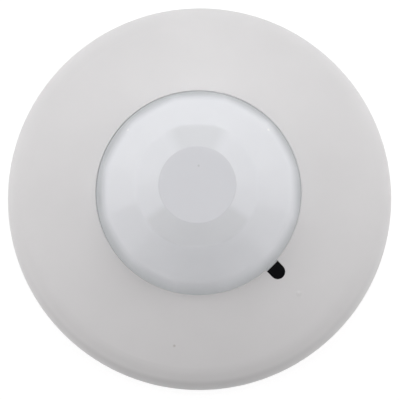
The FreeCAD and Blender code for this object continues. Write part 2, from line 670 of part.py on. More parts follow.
def capacitors():
    """Upright electrolytic capacitors, with the rolled groove near the foot."""
    cans = []
    for x, y, radius, height in CAPACITORS:
        low = BOARD_Z[1]
        can = turned(rounded_face([
            (0, low, 0), (radius, low, 0.3), (radius, low + 0.9, 0), (radius - 0.3, low + 1.2, 0),
            (radius, low + 1.5, 0), (radius, low + height, 0.4), (0, low + height, 0)]))
        can.translate(Vector(x, y, 0))
        cans.append(can)
    return cans


def surge_lead_places():
    """Where the surge suppressor's leads go."""
    return [(SURGE_XY[0] + side * SURGE_LEAD_X, SURGE_XY[1]) for side in (-1, 1)]


def surge_suppressor():
    """Coated disc standing on its two leads."""
    middle_z = BOARD_Z[1] + SURGE_R + 0.6
    start = Vector(SURGE_XY[0], SURGE_XY[1] - SURGE_T / 2, middle_z)
    body = Part.makeCylinder(SURGE_R, SURGE_T, start, Vector(0, 1, 0))
    return body.makeFillet(0.9, [e for e in body.Edges if e.BoundBox.XLength > SURGE_R])


def surge_leads():
    """Leads that run up into the disc's lower edge."""
    drop = math.sqrt(SURGE_R ** 2 - SURGE_LEAD_X ** 2)
    top = BOARD_Z[1] + SURGE_R + 0.6 - drop - 0.5
    return [disc(PIN_R, LEAD_END_Z, top, x, y) for x, y in surge_lead_places()]


def chip(x, y, length, width, _legs):
    """Moulded chip body."""
    low = BOARD_Z[1] + CHIP_STANDOFF
    return box_part(x, y, length, width, low, low + CHIP_H, 0.25)


def chip_legs(x, y, length, width, legs):
    """Both rows of a chip's legs."""
    wide, reach, thick = LEG_SIZE
    rows = []
    for side in (-1, 1):
        for i in range(legs):
            leg_x = x + (i - (legs - 1) / 2) * LEG_PITCH
            inner, outer = y + side * width / 2, y + side * (width / 2 + reach)
            rows.append(block(leg_x - wide / 2, leg_x + wide / 2, min(inner, outer), max(inner, outer),
                              BOARD_Z[1], BOARD_Z[1] + thick + CHIP_STANDOFF))
    return rows


def chip_parts(rows):
    """Rows of surface-mount parts: height y, first x, pitch and count of each row."""
    length, width, tall = CHIP_PART
    return [block(x0 + i * pitch - length / 2, x0 + i * pitch + length / 2, y - width / 2, y + width / 2,
                  BOARD_Z[1], BOARD_Z[1] + tall)
            for y, x0, pitch, count in rows for i in range(count)]


def jumper_pin_places():
    """Where the jumper pins stand."""
    return [(JUMPER_XY[0] + column * JUMPER_PITCH / 2, JUMPER_XY[1] + row * JUMPER_PITCH)
            for column in (-1, 1) for row in (-1, 0, 1)]


def jumper_header():
    """Plastic strip of the jumper pins."""
    body = box_part(*JUMPER_XY, 2 * JUMPER_PITCH, 3 * JUMPER_PITCH, BOARD_Z[1], BOARD_Z[1] + JUMPER_BASE_H, 0.3)
    return body.cut(square_leads(jumper_pin_places(), JUMPER_PIN_HALF + 0.02, 0, TALL))


def jumper_caps():
    """Two shorting caps pushed over pairs of pins."""
    caps = []
    for row in JUMPER_CAPPED_ROWS:
        y = JUMPER_XY[1] + row * JUMPER_PITCH
        cap = box_part(JUMPER_XY[0], y, 2 * JUMPER_PITCH - 0.1, JUMPER_PITCH - 0.1, *JUMPER_CAP_Z, 0.3)
        pins = [place for place in jumper_pin_places() if abs(place[1] - y) < 0.1]
        caps.append(cap.cut(square_leads(pins, JUMPER_PIN_HALF + 0.03, 0, JUMPER_PIN_TOP + 0.1)))
    return caps


def pole_places():
    """X of each terminal."""
    return [(i - (POLES - 1) / 2) * POLE_PITCH for i in range(POLES)]


def terminal_housing():
    """Terminal strip with a wire entry, a clamp chamber and a screw hole for each pole."""
    y0, y1 = TERMINAL_Y
    body = block(-TERMINAL_HALF_X, TERMINAL_HALF_X, y0, y1, BOARD_Z[1], TERMINAL_TOP)
    edge = [e for e in body.Edges
            if e.BoundBox.ZMin > TERMINAL_TOP - 0.001 and e.BoundBox.YMax < y0 + 0.001]
    body = body.makeChamfer(TERMINAL_CHAMFER, edge)
    cutters = []
    for x in pole_places():
        cutters.append(block(x - ENTRY_HALF, x + ENTRY_HALF, y0 - 1, CHAMBER_Y[0] + 0.5, *ENTRY_Z))
        cutters.append(block(x - CHAMBER_HALF, x + CHAMBER_HALF, *CHAMBER_Y, *CHAMBER_Z))
        cutters.append(disc(TERMINAL_SCREW_BORE_R, CHAMBER_Z[1] - 0.5, TALL, x, TERMINAL_SCREW_Y))
        half = TERMINAL_PIN_HALF + 0.05
        cutters.append(block(x - half, x + half, TERMINAL_PIN_Y - half, TERMINAL_PIN_Y + half, 0, CHAMBER_Z[0] + 0.6))
    return body.cut(cutters)


def terminal_clamps():
    """Metal cage in each chamber, with a channel for the wire and a hole for the screw."""
    cages = []
    for x in pole_places():
        cage = block(x - CLAMP_HALF, x + CLAMP_HALF, CHAMBER_Y[0] + CLAMP_GAP, CHAMBER_Y[1] - CLAMP_GAP,
                     CHAMBER_Z[0] + CLAMP_GAP, CHAMBER_Z[1] - CLAMP_GAP)
        channel = block(x - CLAMP_CHANNEL_HALF, x + CLAMP_CHANNEL_HALF, CHAMBER_Y[0] - 1, CHAMBER_Y[1] + 1,
                        *CLAMP_CHANNEL_Z)
        thread = disc(TERMINAL_SCREW_SHANK_R + 0.05, CLAMP_CHANNEL_Z[1] - 0.5, TALL, x, TERMINAL_SCREW_Y)
        cages.append(cage.cut([channel, thread]))
    return cages


def terminal_screws():
    """Slotted clamp screws."""
    tip, neck, top = TERMINAL_SCREW_Z
    screws = []
    for x in pole_places():
        shank = disc(TERMINAL_SCREW_SHANK_R, tip, neck + 0.1, x, TERMINAL_SCREW_Y)
        head = disc(TERMINAL_SCREW_HEAD_R, neck, top, x, TERMINAL_SCREW_Y)
        slot = block(x - 2, x + 2, TERMINAL_SCREW_Y - SLOT_SCREW_W / 2, TERMINAL_SCREW_Y + SLOT_SCREW_W / 2,
                     top - 0.7, top + 1)
        screws.append(fused(shank, head).cut(slot))
    return screws


def switch_leg_places(radius, azimuth):
    """Where the four legs of a square switch go through the board."""
    centre = Vector(*polar(radius, azimuth), 0)
    places = []
    for sx in (-1, 1):
        for sy in (-1, 1):
            x, y = polar(1.0, azimuth)
            across = Vector(-y, x, 0)
            spot = centre + Vector(x, y, 0) * (sy * LEG_Y) + across * (sx * LEG_X)
            places.append((spot.x, spot.y))
    return places


def switch_legs(radius, azimuth):
    """Four flat legs beside a square switch."""
    half_t, half_w = LEG_HALF
    return [swung(block(radius + sy * LEG_Y - half_w, radius + sy * LEG_Y + half_w,
                        sx * LEG_X - half_t, sx * LEG_X + half_t, LEAD_END_Z, BOARD_Z[1] + 1.6), azimuth)
            for sx in (-1, 1) for sy in (-1, 1)]


def tact_top():
    """Height of the top of the tact switch's stem at rest."""
    return BOARD_Z[1] + TACT_STEM_H


def tact_housing():
    """Square body of the tact switch, with the well its stem moves in."""
    low = BOARD_Z[1]
    body = block(BUTTON_PLACE_R - TACT_HALF, BUTTON_PLACE_R + TACT_HALF, -TACT_HALF, TACT_HALF, low, low + TACT_BODY_H)
    well = disc(TACT_STEM_POCKET_R, low + TACT_POCKET_FLOOR, TALL, BUTTON_PLACE_R)
    return swung(body.cut(well), BUTTON_AZ)


def tact_plate():
    """Metal plate over the tact switch."""
    low = BOARD_Z[1] + TACT_BODY_H
    body = block(BUTTON_PLACE_R - TACT_HALF, BUTTON_PLACE_R + TACT_HALF, -TACT_HALF, TACT_HALF, low, low + TACT_PLATE_T)
    return swung(body.cut(disc(TACT_STEM_POCKET_R, 0, TALL, BUTTON_PLACE_R)), BUTTON_AZ)


def tact_stem():
    """Stem that the button's shank pushes."""
    face = rounded_face([
        (0, BOARD_Z[1] + TACT_STEM_FOOT, 0), (TACT_STEM_R, BOARD_Z[1] + TACT_STEM_FOOT, 0),
        (TACT_STEM_R, tact_top(), 0.2), (0, tact_top(), 0)])
    stem = turned(face)
    stem.translate(Vector(BUTTON_PLACE_R, 0, 0))
    return swung(stem, BUTTON_AZ)


def tamper_housing():
    """Square body of the tamper switch, with a well for the spring and the plunger's foot."""
    low = BOARD_Z[1]
    body = box_part(TAMPER_PLACE_R, 0, 2 * TAMPER_HALF, 2 * TAMPER_HALF, low, low + TAMPER_H, 0.3)
    well = disc(TAMPER_WELL_R, *TAMPER_WELL_Z, TAMPER_PLACE_R)
    guide = disc(PLUNGER_R + 0.08, low + 1, TALL, TAMPER_PLACE_R)
    return swung(body.cut([well, guide]), TAMPER_AZ)


def tamper_plunger():
    """Round-ended plunger with a foot that the spring pushes up."""
    stem = rounded_face([
        (0, PLUNGER_FOOT_Z[0], 0), (PLUNGER_FOOT_R, PLUNGER_FOOT_Z[0], 0), (PLUNGER_FOOT_R, PLUNGER_FOOT_Z[1], 0),
        (PLUNGER_R, PLUNGER_FOOT_Z[1], 0), (PLUNGER_R, PLUNGER_TOP, PLUNGER_R - 0.05), (0, PLUNGER_TOP, 0)])
    plunger = turned(stem)
    plunger.translate(Vector(TAMPER_PLACE_R, 0, 0))
    return swung(plunger, TAMPER_AZ)


def tamper_spring():
    """Coil spring in the tamper switch's well."""
    low = TAMPER_WELL_Z[0] + SPRING_WIRE_R + 0.02
    height = PLUNGER_FOOT_Z[0] - low - SPRING_WIRE_R - 0.02
    helix = Part.makeHelix(SPRING_PITCH, height, SPRING_R)
    turns = [math.radians(360.0 * i / SPRING_WIRE_SIDES) for i in range(SPRING_WIRE_SIDES + 1)]
    corners = [Vector(SPRING_R + SPRING_WIRE_R * math.cos(t), 0, SPRING_WIRE_R * math.sin(t)) for t in turns]
    coil = Part.Wire(helix).makePipeShell([Part.makePolygon(corners)], True, True)
    coil.translate(Vector(TAMPER_PLACE_R, 0, low))
    return swung(coil, TAMPER_AZ)


def parts():
    """Every piece of the detector, by node name: one shape, or a list of separate solids."""
    return {
        "front_cover": front_cover(),
        "lens": lens(),
        "lens_gasket": lens_gasket(),
        "lens_ring": lens_ring(),
        "button_cap": button_cap(),
        "base_plate": base_plate(),
        "circuit_board": circuit_board(),
        "board_screws": board_screws(),
        "pyro_spacer": pyro_spacer(),
        "pyro_can": pyro_can(),
        "pyro_window": pyro_window(),
        "pyro_leads": pyro_leads(),
        "pyro_foam": pyro_foam(),
        "indicator_lamp": lamp(),
        "lamp_leads": square_leads(lamp_lead_places(), LAMP_LEAD_HALF, LEAD_END_Z, BOARD_Z[1]),
        "alarm_relay": relay(),
        "relay_pins": [disc(PIN_R, LEAD_END_Z, BOARD_Z[1], x, y) for x, y in relay_pin_places()],
        "capacitors": capacitors(),
        "capacitor_leads": [disc(0.25, LEAD_END_Z, BOARD_Z[1], x, y) for x, y in capacitor_lead_places()],
        "surge_suppressor": surge_suppressor(),
        "surge_leads": surge_leads(),
        "main_chip": chip(*CHIP_MAIN),
        "amplifier_chip": chip(*CHIP_AMP),
        "chip_legs": chip_legs(*CHIP_MAIN) + chip_legs(*CHIP_AMP),
        "voltage_regulator": box_part(*REGULATOR[:4], BOARD_Z[1], BOARD_Z[1] + REGULATOR[4], 0.25),
        "chip_resistors": chip_parts(RESISTOR_ROWS),
        "ceramic_capacitors": chip_parts(CERAMIC_ROWS),
        "jumper_header": jumper_header(),
        "jumper_pins": square_leads(jumper_pin_places(), JUMPER_PIN_HALF, LEAD_END_Z, JUMPER_PIN_TOP),
        "jumper_caps": jumper_caps(),
        "terminal_housing": terminal_housing(),
        "terminal_clamps": terminal_clamps(),
        "terminal_screws": terminal_screws(),
        "terminal_pins": square_leads([(x, TERMINAL_PIN_Y) for x in pole_places()], TERMINAL_PIN_HALF,
                                      LEAD_END_Z, CHAMBER_Z[0] + 0.5),
        "tact_switch_housing": tact_housing(),
        "tact_switch_plate": tact_plate(),
        "tact_switch_legs": switch_legs(BUTTON_PLACE_R, BUTTON_AZ),
        "tact_switch_stem": tact_stem(),
        "tamper_switch_housing": tamper_housing(),
        "tamper_switch_legs": switch_legs(TAMPER_PLACE_R, TAMPER_AZ),
        "tamper_spring": tamper_spring(),
        "tamper_plunger": tamper_plunger(),
    }


def write_parts():
    """Write one STEP file per node, and report each node's solids, volume and soundness."""
    os.makedirs("parts", exist_ok=True)
    for name, made in parts().items():
        shape = Part.makeCompound(made) if isinstance(made, list) else made
        shape.exportStep(f"parts/{name}.step")
        sound = "sound" if shape.isValid() else "NOT SOUND"
        print(f"{name:24s} {len(shape.Solids):3d} solids  {shape.Volume:10.2f} mm3  {sound}")


write_parts()
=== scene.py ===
"""Looks of the ceiling motion sensor, in metres.

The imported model's frame: +Z points out through the lens, +Y to the top.
"""

import json
import math

import bmesh
import bpy
from mathutils import Matrix, Vector


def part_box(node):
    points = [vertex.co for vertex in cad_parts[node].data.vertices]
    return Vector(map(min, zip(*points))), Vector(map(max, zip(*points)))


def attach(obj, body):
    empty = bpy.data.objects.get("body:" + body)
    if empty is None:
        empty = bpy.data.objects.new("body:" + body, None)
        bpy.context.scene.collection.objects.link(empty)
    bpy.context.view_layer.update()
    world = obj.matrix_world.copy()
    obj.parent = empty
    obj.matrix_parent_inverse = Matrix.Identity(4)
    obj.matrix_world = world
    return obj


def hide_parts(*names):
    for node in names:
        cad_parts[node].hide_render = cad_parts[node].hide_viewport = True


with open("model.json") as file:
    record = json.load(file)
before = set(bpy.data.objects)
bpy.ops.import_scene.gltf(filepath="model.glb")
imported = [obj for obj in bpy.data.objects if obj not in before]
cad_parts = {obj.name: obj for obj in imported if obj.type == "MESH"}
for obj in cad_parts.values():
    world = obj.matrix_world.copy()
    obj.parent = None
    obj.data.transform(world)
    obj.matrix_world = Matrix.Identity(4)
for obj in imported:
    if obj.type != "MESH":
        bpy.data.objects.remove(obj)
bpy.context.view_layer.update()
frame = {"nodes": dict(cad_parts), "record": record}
NODES = frame["nodes"]
MM = 0.001


# ---------------------------------------------------------------- materials

# Moulded plastic: slow drift of colour and gloss, and the waviness and grain of the surface.
DRIFT_SIZE = 18 * MM
GLOSS_SIZE = 7 * MM
GLOSS_SPREAD = 0.05
WAVE_SIZE = 6 * MM
WAVE_DEPTH = 0.01 * MM
WAVE_STRENGTH = 0.35
GRAIN_STRENGTH = 0.6

# Metal: cloudy colour and gloss, and fine lines.
CLOUD_SIZE = 2.5 * MM
CLOUD_AMOUNT = 0.12
CLOUD_TINT = (1.0, 0.98, 0.95)
METAL_GLOSS_SIZE = 1.2 * MM
METAL_GLOSS_SPREAD = (-0.08, 0.1)
METAL_GRAIN_SIZE = 0.4 * MM
METAL_GRAIN_DEPTH = 0.003 * MM
METAL_GRAIN_STRENGTH = 0.5

# Noise: layers of detail, and the values between which it bunches.
COARSE = 2.0
MEDIUM = 3.0
FINE = 4.0
NOISE_LOW = 0.3
NOISE_HIGH = 0.7

# Share of a dot's radius that is fully marked.
DOT_CORE = 0.4


class Look:
    """A procedural material around one Principled shader, in object coordinates."""

    def __init__(self, name, base, roughness, metallic=0.0, **constants):
        self.material = bpy.data.materials.new(name)
        self.material.use_nodes = True
        self.tree = self.material.node_tree
        self.tree.nodes.clear()
        self.shader = self.add("ShaderNodeBsdfPrincipled")
        out = self.add("ShaderNodeOutputMaterial")
        self.link(self.shader.outputs["BSDF"], out.inputs["Surface"])
        self.coords = self.add("ShaderNodeTexCoord").outputs["Object"]
        self.base = base
        self.shader.inputs["Base Color"].default_value = (*base, 1.0)
        self.shader.inputs["Roughness"].default_value = roughness
        self.shader.inputs["Metallic"].default_value = metallic
        for socket, value in constants.items():
            self.shader.inputs[socket.replace("_", " ")].default_value = value
        self.normal = None
        self.colour = None

    def add(self, kind, **settings):
        node = self.tree.nodes.new(kind)
        for key, value in settings.items():
            setattr(node, key, value)
        return node

    def link(self, a, b):
        self.tree.links.new(a, b)

    def maths(self, operation, *terms):
        """A sum on numbers and sockets."""
        node = self.add("ShaderNodeMath", operation=operation)
        for socket, term in zip(node.inputs, terms):
            if isinstance(term, float):
                socket.default_value = term
            else:
                self.link(term, socket)
        return node.outputs["Value"]

    def vector(self, operation, point, other=None):
        """A sum on a point and a fixed vector, with a vector or a length as its result."""
        node = self.add("ShaderNodeVectorMath", operation=operation)
        self.link(point, node.inputs[0])
        if other is not None:
            node.inputs[1].default_value = other
        return node.outputs["Value" if operation in ("DISTANCE", "DOT_PRODUCT", "LENGTH") else "Vector"]

    def ramp(self, value, start, end, interpolation="SMOOTHSTEP"):
        """Goes from 0 where a value is start to 1 where it is end."""
        node = self.add("ShaderNodeMapRange", interpolation_type=interpolation)
        node.inputs["From Min"].default_value = start
        node.inputs["From Max"].default_value = end
        self.link(value, node.inputs["Value"])
        return node.outputs["Result"]

    def axes(self):
        """The X, Y and Z of a surface point."""
        split = self.add("ShaderNodeSeparateXYZ")
        self.link(self.coords, split.inputs["Vector"])
        return split.outputs["X"], split.outputs["Y"], split.outputs["Z"]

    def axis_distance(self, point):
        """Distance of a point from the Z axis."""
        return self.vector("LENGTH", self.vector("MULTIPLY", point, (1.0, 1.0, 0.0)))

    def dot(self, centre, radius):
        """1 inside a small ball, falling to 0 at its edge."""
        return self.ramp(self.vector("DISTANCE", self.coords, centre), radius, radius * DOT_CORE)

    def noise(self, size, detail):
        """Noise whose grain is about size metres, with finer and finer layers up to a detail."""
        noise = self.add("ShaderNodeTexNoise")
        noise.inputs["Scale"].default_value = 1.0 / size
        noise.inputs["Detail"].default_value = detail
        self.link(self.coords, noise.inputs["Vector"])
        return noise.outputs["Fac"]

    def spread(self, value, low, high):
        """Noise values, which bunch round a half, spread between low and high."""
        remap = self.add("ShaderNodeMapRange")
        remap.inputs["From Min"].default_value = NOISE_LOW
        remap.inputs["From Max"].default_value = NOISE_HIGH
        remap.inputs["To Min"].default_value = low
        remap.inputs["To Max"].default_value = high
        self.link(value, remap.inputs["Value"])
        return remap.outputs["Result"]

    def mottle(self, size, amount, tint=(1.0, 1.0, 1.0)):
        """Base colour drifts between the plain colour and a darker, tinted one."""
        mix = self.add("ShaderNodeMix", data_type="RGBA")
        other = tuple(c * (1 - amount) * t for c, t in zip(self.base, tint))
        mix.inputs["A"].default_value = (*self.base, 1.0)
        mix.inputs["B"].default_value = (*other, 1.0)
        self.link(self.spread(self.noise(size, FINE), 0.0, 1.0), mix.inputs["Factor"])
        self.colour = mix.outputs["Result"]
        self.link(self.colour, self.shader.inputs["Base Color"])

    def mark(self, mask, colour):
        """Paints a colour over the mottle where a mask is 1."""
        mix = self.add("ShaderNodeMix", data_type="RGBA")
        self.link(self.colour, mix.inputs["A"])
        mix.inputs["B"].default_value = (*colour, 1.0)
        self.link(mask, mix.inputs["Factor"])
        self.colour = mix.outputs["Result"]
        self.link(self.colour, self.shader.inputs["Base Color"])

    def rough(self, size, low, high):
        """Roughness drifts between two values."""
        self.link(self.spread(self.noise(size, FINE), low, high), self.shader.inputs["Roughness"])

    def raise_by(self, height, depth, strength):
        """Bump from a height between 0 and 1, on top of any bump so far."""
        node = self.add("ShaderNodeBump")
        node.inputs["Strength"].default_value = strength
        node.inputs["Distance"].default_value = depth
        self.link(height, node.inputs["Height"])
        if self.normal is not None:
            self.link(self.normal, node.inputs["Normal"])
        self.normal = node.outputs["Normal"]
        self.link(self.normal, self.shader.inputs["Normal"])

    def bump(self, size, depth, strength, detail):
        """Surface grain of a size and depth in metres."""
        self.raise_by(self.noise(size, detail), depth, strength)


def moulded(name, base, roughness, grain=0.15 * MM, depth=0.004 * MM, drift=0.03, **constants):
    """Moulded plastic: fine spark-eroded grain, slow drift of colour and gloss."""
    look = Look(name, base, roughness, **constants)
    look.mottle(DRIFT_SIZE, drift)
    look.rough(GLOSS_SIZE, roughness - GLOSS_SPREAD, roughness + GLOSS_SPREAD)
    look.bump(WAVE_SIZE, WAVE_DEPTH, WAVE_STRENGTH, COARSE)
    look.bump(grain, depth, GRAIN_STRENGTH, FINE)
    return look


def metal(name, base, roughness):
    """Plated or bare metal: fine grain, cloudy colour and gloss."""
    look = Look(name, base, roughness, metallic=1.0)
    look.mottle(CLOUD_SIZE, CLOUD_AMOUNT, CLOUD_TINT)
    look.rough(METAL_GLOSS_SIZE, roughness + METAL_GLOSS_SPREAD[0], roughness + METAL_GLOSS_SPREAD[1])
    look.bump(METAL_GRAIN_SIZE, METAL_GRAIN_DEPTH, METAL_GRAIN_STRENGTH, FINE)
    return look


# Cover: base colour, a faint speck, and a painted shade along the outer edge that rises from the sides to the
# bottom.
COVER_BASE = (0.80, 0.79, 0.795)
COVER_SPECK = (-7.3 * MM, -45.4 * MM, 12.5 * MM)
COVER_SPECK_R = 0.55 * MM
COVER_SPECK_TINT = (0.62, 0.60, 0.59)
RIM_SHADE_R = (55.2 * MM, 56.6 * MM)
RIM_SHADE_Y = (-14.0 * MM, -57.0 * MM)
RIM_PAINTED_SHADE_TINT = (0.66, 0.65, 0.655)


def cover_white():
    """Moulded white, with a speck and a painted shade on its lower edge."""
    look = moulded("cover_white", COVER_BASE, 0.5)
    look.mark(look.dot(COVER_SPECK, COVER_SPECK_R), COVER_SPECK_TINT)
    # Painted shade: the outer edge darkens, most towards the bottom.
    rim = look.ramp(look.axis_distance(look.coords), *RIM_SHADE_R)
    low = look.ramp(look.axes()[1], *RIM_SHADE_Y, "LINEAR")
    look.mark(look.maths("MULTIPLY", rim, low), RIM_PAINTED_SHADE_TINT)
    return look


# Lens: milky plastic.
LENS_BASE = (0.838, 0.850, 0.889)
LENS_MOTTLE_SIZE = 14 * MM
LENS_MOTTLE = 0.02
LENS_ROUGHNESS = 0.4
LENS_GLOSS_SIZE = 9 * MM
LENS_GLOSS = (0.34, 0.44)
LENS_WAVE_SIZE = 5 * MM
LENS_WAVE_STRENGTH = 0.3
GROOVE_SCALE = 0.5 / (0.7 * MM)
GROOVE_DEPTH = 0.004 * MM
GROOVE_STRENGTH = 0.15

# Its centre turns greyer between these heights, as painted shade.
CENTRE_SHADE_Z = (39.28 * MM, 39.38 * MM)
CENTRE_PAINTED_SHADE_TINT = (0.715, 0.722, 0.755)

# The inner zone is greyer, as painted shade, in a sector above and one below the centre: slopes of the
# sectors' sides, the distance across a side over which the grey fades, and the heights between which the zone
# begins.
UPPER_SECTOR_SLOPE = math.tan(math.radians(27.0))
LOWER_SECTOR_SLOPE = math.tan(math.radians(57.0))
SECTOR_FADE = (3.0 * MM, -2.8 * MM)
SECTOR_SHADE_Z = (36.4 * MM, 37.1 * MM)
SECTOR_PAINTED_SHADE_TINT = (0.74, 0.75, 0.775)

# Its wall is greyer towards the foot, as painted shade, and glows a little, as painted light, and the whole
# lens glows faintly. The distance is half way between a round one and that to the sides of a twelve-sided
# outline.
WALL_SHADE_CENTRE = (0.55 * MM, -0.75 * MM, 0.0)
WALL_SHADE_R = (27.0 * MM, 30.3 * MM)
WALL_PAINTED_SHADE_TINT = (0.16, 0.17, 0.185)
WALL_SIDES = (0.0, 30.0, 60.0, 90.0)
PAINTED_GLOW = (0.96, 0.985, 1.0)
PAINTED_GLOW_AT_WALL = 0.265
PAINTED_GLOW_ALL_OVER = 0.03

# A speck on its face, and two painted glints on its creases.
LENS_SPECK = (0.45 * MM, 5.7 * MM, 39.4 * MM)
LENS_SPECK_R = 0.45 * MM
LENS_SPECK_TINT = (0.60, 0.61, 0.63)
PAINTED_GLINTS = ((20.9 * MM, 17.5 * MM, 28.8 * MM), (-20.6 * MM, 17.5 * MM, 28.9 * MM))
PAINTED_GLINT_R = 0.65 * MM
PAINTED_GLINT_TINT = (0.99, 0.99, 0.99)


def painted_sector_shade_mask(look):
    """1 in the sectors of the inner zone above and below the lens's centre, where shade is painted."""
    x, y, z = look.axes()
    upper = look.maths("MULTIPLY", y, UPPER_SECTOR_SLOPE)
    lower = look.maths("MULTIPLY", y, -LOWER_SECTOR_SLOPE)
    past_side = look.maths("SUBTRACT", look.maths("ABSOLUTE", x), look.maths("MAXIMUM", upper, lower))
    return look.maths("MULTIPLY", look.ramp(past_side, *SECTOR_FADE), look.ramp(z, *SECTOR_SHADE_Z))


def painted_wall_shade_mask(look):
    """Rises to 1 at the foot of the lens's wall, where shade and a glow are painted."""
    moved = look.vector("SUBTRACT", look.coords, WALL_SHADE_CENTRE)
    folded = look.vector("ABSOLUTE", moved)
    sides = []
    for side in WALL_SIDES:
        turn = math.radians(side)
        sides.append(look.vector("DOT_PRODUCT", folded, (math.cos(turn), math.sin(turn), 0.0)))
    reach = sides[0]
    for side in sides[1:]:
        reach = look.maths("MAXIMUM", reach, side)
    both = look.maths("ADD", reach, look.axis_distance(moved))
    return look.ramp(both, 2 * WALL_SHADE_R[0], 2 * WALL_SHADE_R[1])


def lens_milk():
    """Milky polyethylene, with faint lens grooves, greyer with painted shade at its centre, in two sectors
    and at its wall's foot, with a painted glow and two painted glints.
    """
    look = Look("lens_milk", LENS_BASE, LENS_ROUGHNESS, Specular_IOR_Level=0.3, Subsurface_Weight=0.6,
                Subsurface_Scale=0.0015, Subsurface_Radius=(1.0, 1.0, 1.0))
    look.mottle(LENS_MOTTLE_SIZE, LENS_MOTTLE)
    # Painted shade: greyer in a sector above and one below the centre.
    look.mark(painted_sector_shade_mask(look), SECTOR_PAINTED_SHADE_TINT)
    # Painted shade: the centre turns greyer.
    look.mark(look.ramp(look.axes()[2], *CENTRE_SHADE_Z), CENTRE_PAINTED_SHADE_TINT)
    look.mark(look.dot(LENS_SPECK, LENS_SPECK_R), LENS_SPECK_TINT)
    # Painted highlights: two glints on the creases.
    for painted_glint in PAINTED_GLINTS:
        look.mark(look.dot(painted_glint, PAINTED_GLINT_R), PAINTED_GLINT_TINT)
    # Painted shade: greyer towards the foot of the wall.
    wall = painted_wall_shade_mask(look)
    look.mark(wall, WALL_PAINTED_SHADE_TINT)
    # Painted light: the lens glows, most at the foot of its wall.
    look.shader.inputs["Emission Color"].default_value = (*PAINTED_GLOW, 1.0)
    painted_glow = look.maths("MULTIPLY_ADD", wall, PAINTED_GLOW_AT_WALL, PAINTED_GLOW_ALL_OVER)
    look.link(painted_glow, look.shader.inputs["Emission Strength"])
    look.rough(LENS_GLOSS_SIZE, *LENS_GLOSS)
    look.bump(LENS_WAVE_SIZE, WAVE_DEPTH, LENS_WAVE_STRENGTH, COARSE)
    grooves = look.add("ShaderNodeTexWave", wave_type="RINGS", rings_direction="Z", wave_profile="SAW")
    grooves.inputs["Scale"].default_value = GROOVE_SCALE
    look.link(look.coords, grooves.inputs["Vector"])
    look.raise_by(grooves.outputs["Fac"], GROOVE_DEPTH, GROOVE_STRENGTH)
    return look


# One look for each material slot of the record.
LOOKS = {
    "cover": cover_white(),
    "cover_inner": moulded("inner_white", (0.78, 0.775, 0.76), 0.5),
    "base": moulded("base_white", (0.77, 0.76, 0.745), 0.52),
    "lens": lens_milk(),
    "gasket": moulded("foam_black", (0.03, 0.03, 0.032), 0.9, grain=0.4 * MM, depth=0.12 * MM),
    "button": moulded("button_black", (0.003, 0.003, 0.004), 0.35, depth=0.002 * MM, Specular_IOR_Level=0.08),
    "board": moulded("solder_mask", (0.012, 0.11, 0.045), 0.3, grain=0.8 * MM, depth=0.006 * MM, drift=0.25),
    "steel": metal("zinc_steel", (0.55, 0.56, 0.57), 0.32),
    "nickel": metal("nickel", (0.62, 0.61, 0.58), 0.25),
    "tinned": metal("tinned_lead", (0.66, 0.66, 0.67), 0.35),
    "gold": metal("gold_pin", (0.78, 0.56, 0.23), 0.28),
    "filter": metal("filter_glass", (0.10, 0.10, 0.13), 0.12),
    "black_moulding": moulded("epoxy_black", (0.016, 0.016, 0.018), 0.45),
    "lamp": moulded("lamp_red", (0.55, 0.02, 0.015), 0.12, depth=0.001 * MM, Transmission_Weight=0.4),
    "relay_white": moulded("relay_cream", (0.62, 0.61, 0.55), 0.35),
    "capacitor_can": moulded("sleeve_dark", (0.012, 0.016, 0.05), 0.3),
    "surge_blue": moulded("dip_blue", (0.01, 0.05, 0.30), 0.22, grain=0.9 * MM, depth=0.03 * MM),
    "resistor": moulded("resistor_black", (0.02, 0.02, 0.022), 0.35),
    "ceramic_tan": moulded("ceramic_tan", (0.36, 0.24, 0.13), 0.55, drift=0.15),
    "jumper_blue": moulded("jumper_blue", (0.01, 0.03, 0.25), 0.4),
    "terminal_green": moulded("terminal_green", (0.012, 0.19, 0.05), 0.42),
    "plunger_white": moulded("acetal", (0.75, 0.75, 0.72), 0.35),
}


def dress():
    """Gives every CAD node the look of its material slot."""
    for part in frame["record"]["subparts"]:
        node = NODES[part["node"]]
        node.data.materials.clear()
        node.data.materials.append(LOOKS[part["material_slot"]].material)


# ---------------------------------------------------------------- lens

# Section of the lens: (r, z) of its corners, each side's distance being to the middle of a facet.
LENS_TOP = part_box("lens")[1].z
CENTRE_R = 11.35 * MM
ZONE_1 = (18.3 * MM, 36.7 * MM)
ZONE_2 = (28.0 * MM, 28.3 * MM)
FOOT = (30.55 * MM, 17.7 * MM)
FLANGE_R = 34.6 * MM
FLANGE_Z = (13.9 * MM, 14.9 * MM)
SKIN = 0.9 * MM

# Rise of the inner zone's outer edge at its six creases, and degrees from one crease to the next.
RIDGE = 0.35 * MM
RIDGE_STEP = 60.0

# Fillets of the corners outside and inside, and how far the inside corners lie within the outside ones, in r
# or (r, z).
CENTRE_FILLET = (1.0 * MM, 0.8 * MM)
ZONE_1_FILLET = (3.0 * MM, 2.1 * MM)
ZONE_2_FILLET = (4.5 * MM, 3.6 * MM)
FOOT_FILLET = 0.3 * MM
CENTRE_INSET = 0.1 * MM
ZONE_1_INSET = 0.4 * MM
ZONE_2_INSET = (0.8 * MM, 0.6 * MM)
FILLET_STEPS = 6

# The flange is cut back for the button, except for a ledge in the middle that closes the gap beside it.
NOTCH_AZ = -45.0
NOTCH_R = 30.75 * MM
NOTCH_HALF = 3.6 * MM
LEDGE_R = 31.0 * MM
LEDGE_HALF = 2.1 * MM
LEDGE_Z = 17.3 * MM
NOTCH_EDGE = math.degrees(math.asin(NOTCH_HALF / LEDGE_R))
LEDGE_EDGE = math.degrees(math.asin(LEDGE_HALF / LEDGE_R))

# How flat the facets are, from 0 for round to 1 for flat.
FACETS = 12
FACETING = 0.45

